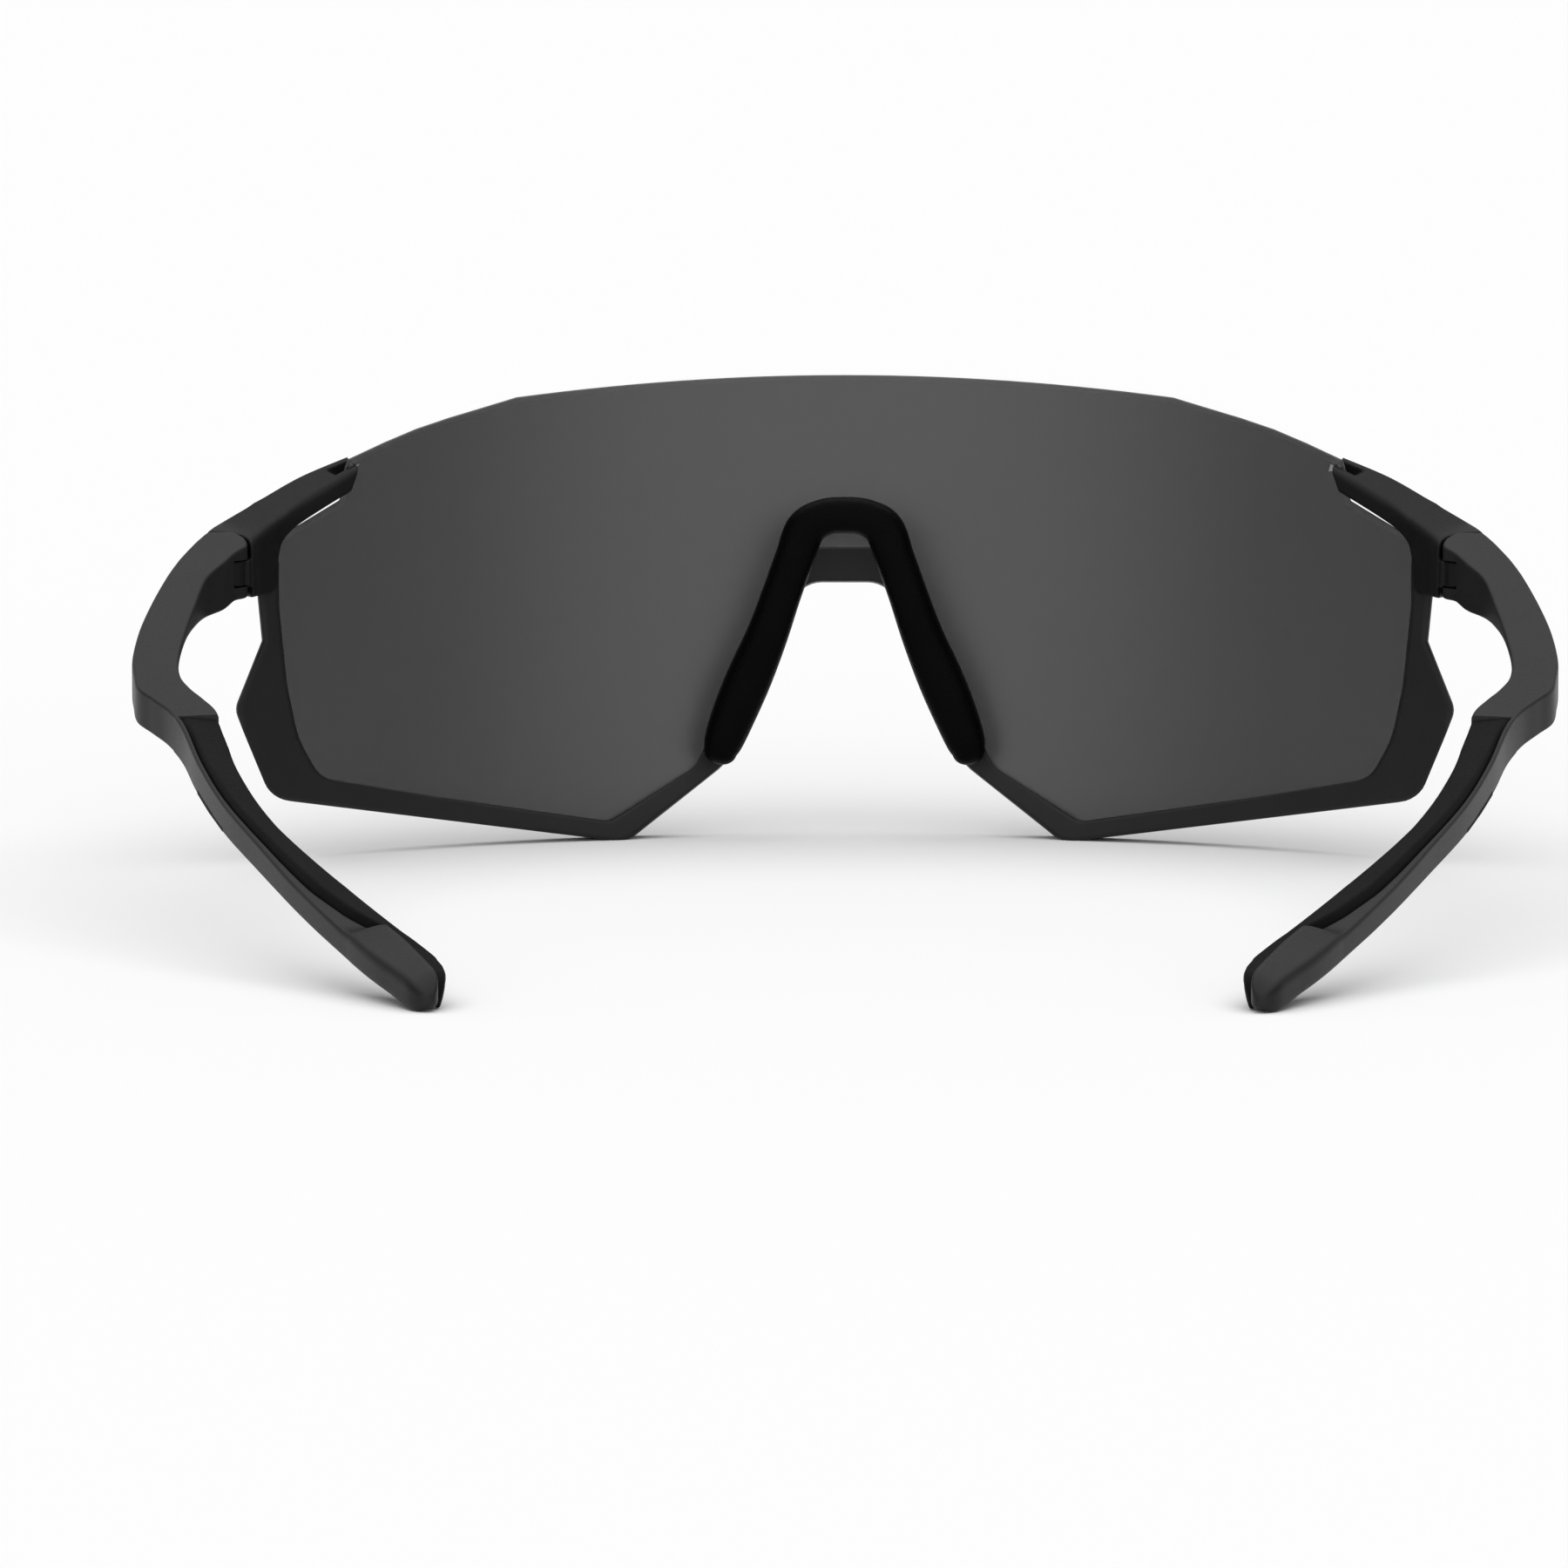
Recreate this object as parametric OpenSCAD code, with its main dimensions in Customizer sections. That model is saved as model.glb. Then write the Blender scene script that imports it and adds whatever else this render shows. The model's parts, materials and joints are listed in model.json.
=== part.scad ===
// Wraparound sport sunglasses: one curved shield lens clamped between a lower
// half rim and two endpieces, a one-piece nose pad on a bendable wire, and two
// folding temples with rubber grips.
//
// Frame: +X to the wearer's right, +Y the way the wearer looks, +Z up.
// Origin: centre of the footprint of the opened glasses, on the resting plane.
// Left-hand pieces are drawn as they lie, at -X; right-hand ones are mirrored.

/* [Lens] */
// Radius of the lens's inner face, seen from above
lens_r = 92; // [88:0.5:96]
// Thickness of the lens
lens_t = 2; // [1.8:0.1:2.2]
// Forward lean of the lens
lens_tilt = 7; // [5:0.5:9]
// Height of the lens's reference line above the resting plane
lens_z = 28; // [28:0.1:28.2]

/* [Rim] */
// Thickness of the rim behind the lens
rear_lip = 1.4; // [1.2:0.1:1.6]
// Thickness of the rim in front of the lens
front_lip = 1; // [0.8:0.1:1.2]

/* [Temples] */
// Thickness of the plastic shell beside the rubber grip
shell_t = 1.2; // [1:0.1:1.4]
// Drop of the temple's top face for each millimetre behind the hinge
temple_slope = 0.283; // [0.28:0.001:0.285]

/* [Hinge] */
// Distance of each hinge pin from the middle of the glasses
pin_x = 69.8; // [69.7:0.1:69.9]
// Distance of the hinge pins in front of the origin
pin_y = 37; // [36.5:0.1:37.5]
// Diameter of the hinge screw's shank
pin_d = 1.4; // [1.2:0.1:1.6]
// Clearance between the shank and the bore that turns on it, on the radius
pin_play = 0.03; // [0.02:0.01:0.06]
// Radius of the endpiece's knuckle round the pin
knuckle_r = 1.9; // [1.8:0.05:2]
// Radius of the temple's slot, in which the knuckle turns
slot_r = 2.75; // [2.6:0.05:2.9]
// Gap between the temple's and the endpiece's knuckles
knuckle_gap = 0.1; // [0.08:0.01:0.15]

/* [Nose piece] */
// Diameter of the bendable wire inside the nose pad
wire_d = 1; // [0.8:0.1:1.2]

/* [Hidden] */
$fn = 96;

// Lens frame: middle of the inner face on the reference line
lens_y = pin_y + 38.6;
lens_front = lens_r + lens_t;

// Hinge heights, from the underside up
hinge_bottom = 31;
lower_leaf_top = 32.3;
middle_leaf_bottom = lower_leaf_top + knuckle_gap;
upper_leaf_bottom = 35.4;
middle_leaf_top = upper_leaf_bottom - knuckle_gap;
hinge_top = 37.1;
screw_head_d = 2.4;
screw_head_h = 0.7;
head_seat = hinge_bottom + 0.8;
screw_length = 5;
insert_d = 2.4;
insert_h = 1.1;

// ---------------------------------------------------------------- helpers

// One rounded corner: the arc of radius r tangent to a-b and b-c
function corner(a, b, c, r) =
    let (u = (a - b) / norm(a - b), w = (c - b) / norm(c - b),
         turn = acos(max(-1, min(1, u * w))),
         steps = max(1, round((180 - turn) / 14)))
    r <= 0 || turn > 179 ? [b] :
    let (reach = min(r / tan(turn / 2), norm(a - b) * 0.49, norm(c - b) * 0.49),
         radius = reach * tan(turn / 2),
         centre = b + (u + w) / norm(u + w) * radius / sin(turn / 2),
         from = b + u * reach - centre,
         to = b + w * reach - centre,
         start = atan2(from[1], from[0]),
         sweep_raw = atan2(to[1], to[0]) - start,
         sweep = sweep_raw > 180 ? sweep_raw - 360 : sweep_raw < -180 ? sweep_raw + 360 : sweep_raw)
    [for (i = [0:steps])
        centre + radius * [cos(start + sweep * i / steps), sin(start + sweep * i / steps)]];

// A closed outline from rows of [x, y, corner radius]
function rounded(rows) =
    let (n = len(rows), p = [for (q = rows) [q[0], q[1]]])
    [for (i = [0:n - 1])
        for (q = corner(p[(i + n - 1) % n], p[i], p[(i + 1) % n], rows[i][2])) q];

// The rows of one half, and the same rows mirrored back to the start
function both_halves(half) =
    concat(half, [for (i = [len(half) - 1:-1:0]) if (half[i][0] > 0) [-half[i][0], half[i][1], half[i][2]]]);

// Catmull-Rom blend of rows a, b, c, d at t between b and c
function blend(a, b, c, d, t) =
    0.5 * ((2 * b) + (c - a) * t + (2 * a - 5 * b + 4 * c - d) * t * t
           + (3 * b - a - 3 * c + d) * t * t * t);

// A smooth row at parameter s, from 0 to len(rows) - 1
function row_at(rows, s) =
    let (n = len(rows) - 1, i = min(n - 1, floor(s)))
    blend(rows[max(0, i - 1)], rows[i], rows[i + 1], rows[min(n, i + 2)], s - i);

// All rows with a number of even steps put in between
function refined(rows, steps) =
    [for (k = [0:(len(rows) - 1) * steps]) row_at(rows, k / steps)];

// A solid through closed rings that all have the same number of points
module skin(rings) {
    n = len(rings[0]);
    last = len(rings) - 1;
    polyhedron(
        points = [for (ring = rings) for (p = ring) p],
        faces = concat(
            [[for (i = [n - 1:-1:0]) i]],
            [for (k = [0:last - 1]) for (i = [0:n - 1])
                let (j = (i + 1) % n)
                each [[k * n + i, k * n + j, (k + 1) * n + j],
                      [k * n + i, (k + 1) * n + j, (k + 1) * n + i]]],
            [[for (i = [0:n - 1]) last * n + i]]));
}

module at_lens() {
    translate([0, lens_y, lens_z]) rotate([-lens_tilt, 0, 0]) children();
}

// The space between two radii of the lens's curve
module curved_shell(inner, outer) {
    translate([0, -lens_r, 0]) difference() {
        cylinder(r = outer, h = 90, center = true);
        cylinder(r = inner, h = 92, center = true);
    }
}

// An outline in the lens's face, cut from a curved shell
module curved_plate(outline, inner, outer) {
    intersection() {
        translate([0, 6, 0]) rotate([90, 0, 0]) linear_extrude(60) polygon(outline);
        curved_shell(inner, outer);
    }
}

// ------------------------------------------------------------------- lens

// Arched top edge between the two kinks
lens_top = 26.25;
kink_x = 38.5;
kink_drop = 3.2;
function top_edge(x) = lens_top - kink_drop * pow(x / kink_x, 2);

lens_half = concat(
    [for (x = [0:5.5:kink_x]) [x, top_edge(x), 0]],
    [[50, 19.1, 50], [57.5, 15.1, 0.4], [58, 13.6, 0], [58.4, 10.35, 0.4],
     [66.3, 4.9, 2.5], [66, -4, 30], [65, -12.5, 30], [63.9, -18.5, 8], [61.3, -23, 4.5],
     [48, -25, 60], [27.2, -27.5, 2], [16.6, -20.7, 2], [13, -12.8, 10], [8.4, 0.6, 10],
     [6.9, 4.6, 3], [0, 4.6, 0]]);

module lens() {
    color([0.2, 0.2, 0.21, 0.9])
    at_lens() curved_plate(rounded(both_halves(lens_half)), lens_r, lens_front);
}

// -------------------------------------------------------------------- rim

rim_top = 3;
// From the hidden top of the tongue, down the outside and back up the nose cut
rim_outside = [
    [67.2, rim_top, 0], [67.2, -0.8, 0], [66.7, -6.2, 0.6], [69.55, -14.1, 2.4], [65.6, -24.3, 3.2],
    [25.7, -29.05, 3.2], [14.9, -20.4, 1], [12.5, -18, 3], [10.5, -13.2, 10], [5.3, 1.8, 4.5]];
// From the middle of the bridge's top, round the window and up to the tongue
rim_window = [
    [7.2, 5.8, 3], [9.4, 0.8, 8], [14, -12.4, 10], [17.6, -20.2, 2.5], [27.6, -26.6, 1.8],
    [48, -23.8, 60], [60.4, -21.8, 3], [62.8, -17.3, 10], [64, -11.3, 20], [64.9, -2, 20],
    [64.9, rim_top, 0]];

module rim_blank() {
    for (side = [0, 1]) mirror([side, 0, 0])
        curved_plate(rounded(concat([[0, 1.7, 0], [0, 5.8, 0]], rim_window, rim_outside)),
                     lens_r - rear_lip, lens_front + front_lip);
}

module lower_rim() {
    color([0.15, 0.15, 0.15])
    difference() {
        at_lens() rim_blank();
        lens();
        translate([-60, 0, -10]) cube([120, 100, 10]);
    }
}

// -------------------------------------------------------------- endpieces

// Sections from the fork's tip to the hinge: outer top, inner top, inner
// bottom and outer bottom corner, measured from the hinge pin
endpiece_sections = [
    [[11.9, 24.6, 45.6], [13.8, 19.4, 44.6], [12.9, 18.6, 41.85], [11.6, 24.2, 41.6]],
    [[6.9, 19.8, 43.75], [7.9, 14.2, 41.1], [8.2, 13.9, 39.1], [7.2, 19.6, 38.5]],
    [[2.7, 15.6, 41.5], [5.5, 10.2, 39.4], [6.2, 11.4, 37.45], [2.9, 15.2, 36.2]],
    [[1.8, 14.6, 41.05], [5.1, 9.2, 39.1], [5.1, 10.2, 35.3], [2, 14.2, 34]],
    [[1, 13.8, 40.5], [4.6, 8.1, 38.8], [4.9, 9.4, 31.3], [1.2, 13.4, 31.2]],
    [[-1.4, 10.6, 39.15], [3.4, 4, 38], [3.6, 4.4, 31], [-1.2, 10.4, 31]],
    [[-2.4, 7, 38.65], [2.9, 1.2, 37.5], [3, 1.2, 31], [-2.3, 6.8, 31]],
    [[-2.9, 4, 38.3], [2.6, 1, 37.4], [2.6, 1, 31], [-2.8, 3.9, 31]]];

// The fork's slot, open above, in the lens's frame
fork_slot = [
    [-54, 22, 0], [-54, 12.5, 0], [-58.4, 10.35, 0.4], [-58.75, 13.1, 0.2], [-60.1, 13.85, 0.3],
    [-60.9, 18.5, 0]];
// A lobe that covers the lens's lower corner from behind
corner_lobe = [
    [-62.4, 8.1, 0], [-62.8, 7.6, 0.3], [-63.9, 6.6, 1.5], [-64.6, 5.2, 2], [-65, 3.1, 0],
    [-67.4, 3.1, 0], [-67.6, 4.6, 0], [-65.8, 6.4, 0]];
lobe_t = 1.7;
lobe_grip = 0.5;

// Outline, seen from above, of the seat in which the temple's end turns
seat_outline = [
    [-9, 4.5, 0], [-0.4, 4.5, 1.6], [1.3, 3.6, 1.6], [2.4, 1.4, 1.5], [2.4, -8, 0], [-9, -8, 0]];

module from_pin(z) {
    translate([-pin_x, pin_y, z]) children();
}

module endpiece() {
    difference() {
        union() {
            difference() {
                from_pin(0) skin(endpiece_sections);
                from_pin(hinge_bottom - 5) linear_extrude(20) polygon(rounded(seat_outline));
            }
            middle_knuckle();
            at_lens() curved_plate(rounded(corner_lobe), lens_r - lobe_t, lens_r + lobe_grip);
        }
        lens();
        at_lens() curved_plate(rounded(fork_slot), lens_r, lens_front);
        at_lens() rim_blank();
        from_pin(hinge_bottom - 1) cylinder(d = pin_d + 2 * pin_play, h = 10);
    }
}

// How far the web begins from the pin, on the side of the head
web_x = 1.4;

// Knuckle round the pin, and the web that joins it to the endpiece
module middle_knuckle() {
    height = middle_leaf_top - middle_leaf_bottom;
    from_pin(middle_leaf_bottom) {
        cylinder(r = knuckle_r, h = height);
        translate([web_x, 0, 0]) cube([2.5 - web_x, 5, height]);
        translate([0.4, 1.2, 0]) cube([2.6, 3, height]);
    }
}

module left_endpiece() { color([0.13, 0.13, 0.13]) endpiece(); }
module right_endpiece() { color([0.13, 0.13, 0.13]) mirror([1, 0, 0]) endpiece(); }

// ---------------------------------------------------------------- temples

// Rows of [distance behind the pin, outer face x, inner edge x, height of the
// outer face, height of the inner face]
temple_rows = [
    [-4.38, -72.2, -70.5, 7.3, 7.3],
    [-3.9, -72.5, -69.35, 7.2, 7.2],
    [-3.2, -72.8, -68.7, 7, 7],
    [-2.3, -73.1, -68.1, 6.75, 6.75],
    [-0.9, -73.55, -67.65, 6.35, 6.35],
    [0.4, -73.9, -67.7, 6, 6],
    [2.3, -74.4, -68.7, 5.9, 5.6],
    [5.3, -75.1, -69.7, 5.8, 5.5],
    [10.3, -75.95, -71.3, 5.3, 4.5],
    [18.3, -76.9, -71.9, 4.7, 2.6],
    [26.3, -77.5, -72.3, 4.3, 1.3],
    [34.3, -77.5, -72.4, 4.1, 1],
    [39.3, -76.9, -71.8, 4.05, 1.2],
    [42.9, -76.2, -70.4, 4, 1.8],
    [45.8, -74.4, -68.8, 4, 2.6],
    [49.3, -72.3, -67.1, 4, 3.6],
    [54.3, -70.3, -66.1, 4, 4.3],
    [62.3, -68.1, -64.5, 4, 4.8],
    [72.3, -64.7, -61.5, 4, 5],
    [82.3, -60.4, -57.5, 4, 5],
    [92.3, -55.95, -52.6, 4, 5],
    [102.3, -50.95, -47, 4.1, 5],
    [110.3, -46.65, -42.4, 4.3, 4.8],
    [114.9, -43.85, -40, 4.4, 4.4],
    [116.9, -42.5, -39.3, 3.9, 3.8],
    [118.2, -41.2, -40, 2.9, 2.7]];

// Where the grip begins, and where the shell closes over it again at the tip
grip_start = 50.5;
cap_start = 103.4;
grip_step = 0.5;

// How far the grip bulges inwards past a row's inner edge, by distance
grip_bulge = [
    [51, 0.15], [57, 0.55], [67.6, 0.8], [78, 1], [86, 1.5], [93.6, 1.85], [104, 1.85],
    [107.5, 2], [109.3, 2.2], [111, 2.55], [112.7, 2.55], [114.4, 1.9], [116, 0.6]];
edge = 0.45;

// How much of the width beside the grip is shell: 1 in front, 0 along the grip
function shell_share(d) = max(0, min(1, (grip_start + grip_step - d) / grip_step));
function cap_share(d) = max(0, min(1, (d - cap_start) / 2.5));

// The face where shell and grip meet
function parting_x(row) =
    let (thin = row[1] + shell_t, front = shell_share(row[0]), cap = cap_share(row[0]))
    front > 0 ? front * row[2] + (1 - front) * thin : cap * row[2] + (1 - cap) * thin;

function top_z(d) = hinge_top - temple_slope * d;

function shell_ring(row) =
    let (x0 = row[1], x1 = parting_x(row), y = pin_y - row[0], z = top_z(row[0]),
         full = shell_share(row[0]), h0 = row[3], h1 = full * row[4] + (1 - full) * (h0 - 0.3))
    [[x0, y, z - edge], [x0 + edge, y, z], [x1 - edge * 0.6, y, z], [x1, y, z - edge * 0.6],
     [x1, y, z - h1 + edge * 0.4], [x1 - edge * 0.6, y, z - h1],
     [x0 + edge * 0.8, y, z - h0], [x0, y, z - h0 + edge]];

function temple_stations() =
    let (rows = refined(temple_rows, 2))
    concat([for (r = rows) if (r[0] < grip_start) r],
           [between(rows, grip_start), between(rows, grip_start + grip_step)],
           [for (r = rows) if (r[0] > grip_start + 2 * grip_step) r]);

// The row at a distance d, in proportion between its neighbours
function between(rows, d) =
    let (k = max([for (i = [0:len(rows) - 2]) if (rows[i][0] <= d) i]),
         t = (d - rows[k][0]) / (rows[k + 1][0] - rows[k][0]))
    rows[k] * (1 - t) + rows[k + 1] * t;

module temple() {
    slot_h = upper_leaf_bottom - lower_leaf_top;
    difference() {
        skin([for (row = temple_stations()) shell_ring(row)]);
        // Slot for the endpiece's knuckle and its web
        from_pin(lower_leaf_top) {
            cylinder(r = slot_r, h = slot_h);
            translate([0, -slot_r, 0]) cube([6, slot_r + 6, slot_h]);
        }
        hinge_hardware_space();
    }
}

// Recess for the screw's head, the bore for its shank and the insert's pocket
module hinge_hardware_space() {
    from_pin(head_seat - 2) cylinder(d = screw_head_d, h = 2);
    from_pin(head_seat - 1) cylinder(d = pin_d, h = 4);
    from_pin(upper_leaf_bottom - 1) cylinder(d = insert_d, h = insert_h + 1);
}

module left_temple() { color([0.25, 0.25, 0.25]) temple(); }
module right_temple() { color([0.25, 0.25, 0.25]) mirror([1, 0, 0]) temple(); }

// ------------------------------------------------------------------ grips

// Rubber along the inner side, falling away inwards from the shell's top edge
function grip_ring(row) =
    let (x0 = parting_x(row), x1 = row[2] + lookup(row[0], grip_bulge), w = x1 - x0, h = row[4],
         y = pin_y - row[0], z = top_z(row[0]))
    [[x0, y, z - 0.3], [x0 + 0.15 * w, y, z - 0.1],
     [x1 - 0.3 * w, y, z - 0.12 * h], [x1, y, z - 0.3 * h],
     [x1 - 0.1 * w, y, z - 0.75 * h], [x1 - 0.4 * w, y, z - h],
     [x0 + 0.2 * w, y, z - h], [x0, y, z - 0.85 * h]];

module temple_grip() {
    skin([for (row = temple_stations()) if (row[0] >= grip_start + grip_step) grip_ring(row)]);
}

module left_temple_grip() { color([0.1, 0.1, 0.1]) temple_grip(); }
module right_temple_grip() { color([0.1, 0.1, 0.1]) mirror([1, 0, 0]) temple_grip(); }

// Rubber strip let into the lower outer edge of the shell, proud of it by a
// little and fading out at both ends
outer_grip_from = 58;
outer_grip_to = 75;
outer_grip_proud = 0.05;
outer_grip_fade = 5;

function outer_grip_ring(row) =
    let (x = row[1], y = pin_y - row[0], z = top_z(row[0]) - row[3],
         share = min(1, min(row[0] - outer_grip_from, outer_grip_to - row[0]) / outer_grip_fade),
         proud = outer_grip_proud * share)
    [[x, y, z + edge], [x + edge * 0.8, y, z], [x + shell_t - edge * 0.6, y, z + 0.3],
     [x + shell_t - 0.2, y, z - 0.1], [x + edge, y, z - 0.05 - 0.2 * share],
     [x - proud, y, z + 0.1], [x - proud, y, z + edge]];

module outer_grip() {
    skin([for (row = temple_stations())
        if (row[0] >= outer_grip_from && row[0] <= outer_grip_to) outer_grip_ring(row)]);
}

module left_outer_grip() { color([0.05, 0.05, 0.05]) outer_grip(); }
module right_outer_grip() { color([0.05, 0.05, 0.05]) mirror([1, 0, 0]) outer_grip(); }

// --------------------------------------------------------- hinge hardware

module hinge_screw() {
    from_pin(head_seat - screw_head_h) difference() {
        union() {
            cylinder(d = screw_head_d, h = screw_head_h);
            cylinder(d = pin_d, h = screw_length);
        }
        // Cross slot for the driver
        for (turn = [0, 90]) rotate([0, 0, turn])
            translate([-0.75, -0.15, -1]) cube([1.5, 0.3, 1.4]);
    }
}

module hinge_insert() {
    from_pin(upper_leaf_bottom) difference() {
        cylinder(d = insert_d, h = insert_h);
        translate([0, 0, -1]) cylinder(d = pin_d, h = insert_h + 2);
    }
}

module left_hinge_screw() { color([0.6, 0.6, 0.62]) hinge_screw(); }
module right_hinge_screw() { color([0.6, 0.6, 0.62]) mirror([1, 0, 0]) hinge_screw(); }
module left_hinge_insert() { color([0.75, 0.6, 0.3]) hinge_insert(); }
module right_hinge_insert() { color([0.75, 0.6, 0.3]) mirror([1, 0, 0]) hinge_insert(); }

// -------------------------------------------------------------- nose piece

// Rows of [x, y, z, width, depth] from the lower end of the left leg to the
// top of the arch
pad_rows = [
    [-14.8, 67.6, 9.6, 3, 3.4],
    [-14.3, 67.5, 11.4, 4.5, 4.6],
    [-12.85, 67.2, 15.2, 5.2, 5],
    [-11.1, 66.8, 19.4, 5.35, 5],
    [-9.1, 66.4, 24.2, 4.9, 4.8],
    [-7.35, 66.1, 29.2, 4.6, 4.5],
    [-5.85, 65.9, 33.4, 4.6, 4.2],
    [-4.6, 65.8, 36.7, 4.7, 4],
    [-2.5, 65.7, 38.1, 4.3, 4],
    [0, 65.7, 38.4, 4.2, 4]];
ring_points = 12;
roundness = 0.75;

// The whole arch: the left leg's rows, then the same rows mirrored
function arch(rows) =
    let (half = refined(rows, 2), n = len(half))
    concat(half, [for (i = [n - 2:-1:0]) [-half[i][0], half[i][1], half[i][2], half[i][3], half[i][4]]]);

function rounded_power(v) = sign(v) * pow(abs(v), roundness);

// A rounded ring across the arch at row k
function arch_ring(rows, k) =
    let (n = len(rows), a = rows[max(0, k - 1)], b = rows[min(n - 1, k + 1)], r = rows[k],
         run = [b[0] - a[0], b[2] - a[2]], across = [-run[1], run[0]] / norm(run))
    [for (i = [0:ring_points - 1])
        let (t = 360 * i / ring_points,
             p = rounded_power(cos(t)) * r[3] / 2,
             q = rounded_power(sin(t)) * r[4] / 2)
        [r[0] + across[0] * p, r[1] + q, r[2] + across[1] * p]];

module arch_solid(rows) {
    whole = arch(rows);
    skin([for (k = [0:len(whole) - 1]) arch_ring(whole, k)]);
}

// The wire follows the middle of the pad and stops short of both ends
core_first_row = 2;
core_rows = [for (i = [core_first_row:len(pad_rows) - 1])
    [pad_rows[i][0], pad_rows[i][1], pad_rows[i][2], wire_d, wire_d]];

module nose_pad_core() {
    color([0.7, 0.7, 0.72]) arch_solid(core_rows);
}

module nose_pad() {
    color([0.03, 0.03, 0.03]) difference() {
        arch_solid(pad_rows);
        nose_pad_core();
        nose_clip();
        mirror([1, 0, 0]) nose_clip();
    }
}

// Block that stands off the rim's nose edge and carries one leg of the pad
clip_outline = [
    [9.2, -5, 0.5], [12, -12.4, 8], [14.2, -17, 0.8], [11.8, -17.6, 0.8], [10.6, -13.2, 8], [7.6, -5, 0.5]];
clip_standoff = 3.7;

module nose_clip() {
    at_lens() mirror([1, 0, 0])
        curved_plate(rounded(clip_outline), lens_r - rear_lip - clip_standoff, lens_r - rear_lip);
}

module left_nose_clip() { color([0.08, 0.08, 0.08]) nose_clip(); }
module right_nose_clip() { color([0.08, 0.08, 0.08]) mirror([1, 0, 0]) nose_clip(); }

lens();
lower_rim();
left_endpiece();
right_endpiece();
nose_pad();
nose_pad_core();
left_nose_clip();
right_nose_clip();
left_temple();
right_temple();
left_temple_grip();
right_temple_grip();
left_outer_grip();
right_outer_grip();
left_hinge_screw();
right_hinge_screw();
left_hinge_insert();
right_hinge_insert();
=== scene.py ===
import json
import math

import bmesh
import bpy
import numpy as np
from mathutils import Matrix, Vector
from mathutils.geometry import delaunay_2d_cdt


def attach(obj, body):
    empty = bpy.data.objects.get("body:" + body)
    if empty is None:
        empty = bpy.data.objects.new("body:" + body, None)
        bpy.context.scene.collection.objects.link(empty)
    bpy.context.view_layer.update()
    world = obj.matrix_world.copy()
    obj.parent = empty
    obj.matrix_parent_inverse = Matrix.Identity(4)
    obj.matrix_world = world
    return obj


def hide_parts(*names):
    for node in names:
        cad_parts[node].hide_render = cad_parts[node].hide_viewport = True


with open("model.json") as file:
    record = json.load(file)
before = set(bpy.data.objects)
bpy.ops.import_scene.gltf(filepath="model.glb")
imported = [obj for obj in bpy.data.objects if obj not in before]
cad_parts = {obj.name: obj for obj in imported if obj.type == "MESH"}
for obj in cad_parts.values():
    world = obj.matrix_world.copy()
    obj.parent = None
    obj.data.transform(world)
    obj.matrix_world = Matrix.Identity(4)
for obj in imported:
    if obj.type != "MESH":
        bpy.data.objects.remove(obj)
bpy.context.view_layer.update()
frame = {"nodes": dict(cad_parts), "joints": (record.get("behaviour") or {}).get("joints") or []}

# Shapes are worked out in millimetres and turned into metres when a mesh is made.
MM = 0.001

# ------------------------------------------------------------ driving sizes
# The same ones as the CAD model's, with the pin's place read from the frame.
PIN = next(j for j in frame["joints"] if j["name"] == "left_temple_fold")["pos_m"]
PIN_X = -PIN[0] / MM
PIN_Y = PIN[1] / MM
LENS_R = 92.0
LENS_T = 2.0
LENS_TILT = math.radians(7)
LENS_Z = 28.0
LENS_Y = PIN_Y + 38.6
REAR_LIP = 1.4
FRONT_LIP = 1.0
HINGE_BOTTOM = 31.0
HINGE_TOP = 37.1
LOWER_LEAF_TOP = 32.3
UPPER_LEAF_BOTTOM = 35.4
PIN_D = 1.4
PIN_PLAY = 0.03
SCREW_HEAD_R = 1.2
HEAD_SEAT = HINGE_BOTTOM + 0.8
KNUCKLE_R = 1.9
KNUCKLE_GAP = 0.1
SLOT_R = 2.75
WEB_X = 1.4
TEMPLE_SLOPE = 0.283
FLOOR_Z = 0.0


def clamp(v):
    return max(0.0, min(1.0, v))


# ------------------------------------------------------------ plane outlines
def corner(a, b, c, r, step=10):
    """The arc of radius r tangent to a-b and b-c, a point every few degrees."""
    a, b, c = np.array(a, float), np.array(b, float), np.array(c, float)
    if r <= 0:
        return [b]
    to_a = (a - b) / np.linalg.norm(a - b)
    to_c = (c - b) / np.linalg.norm(c - b)
    turn = math.acos(max(-1.0, min(1.0, float(to_a @ to_c))))
    if turn > math.radians(179):
        return [b]
    half_way = 0.49 * min(np.linalg.norm(a - b), np.linalg.norm(c - b))
    reach = min(r / math.tan(turn / 2), half_way)
    radius = reach * math.tan(turn / 2)
    middle = (to_a + to_c) / np.linalg.norm(to_a + to_c)
    centre = b + middle * radius / math.sin(turn / 2)
    start, end = b + to_a * reach - centre, b + to_c * reach - centre
    first = math.atan2(start[1], start[0])
    sweep = (math.atan2(end[1], end[0]) - first + math.pi) % (2 * math.pi) - math.pi
    steps = max(2, round(abs(math.degrees(sweep)) / step))
    angles = [first + sweep * i / steps for i in range(steps + 1)]
    return [centre + radius * np.array([math.cos(t), math.sin(t)]) for t in angles]


def rounded(rows):
    """A closed outline from rows of (x, y, corner radius)."""
    points = []
    for i, row in enumerate(rows):
        points += corner(rows[i - 1][:2], row[:2], rows[(i + 1) % len(rows)][:2], row[2])
    return points


def both_halves(half):
    """The rows of one half, and the same rows mirrored back to the start."""
    return half + [(-x, y, r) for x, y, r in reversed(half) if x > 0]


def dense(points, longest):
    """The same closed outline with no side longer than that."""
    made = []
    for i, p in enumerate(points):
        q = points[(i + 1) % len(points)]
        parts = max(1, math.ceil(np.linalg.norm(q - p) / longest))
        made += [p + (q - p) * k / parts for k in range(parts)]
    return np.array(made)


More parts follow.
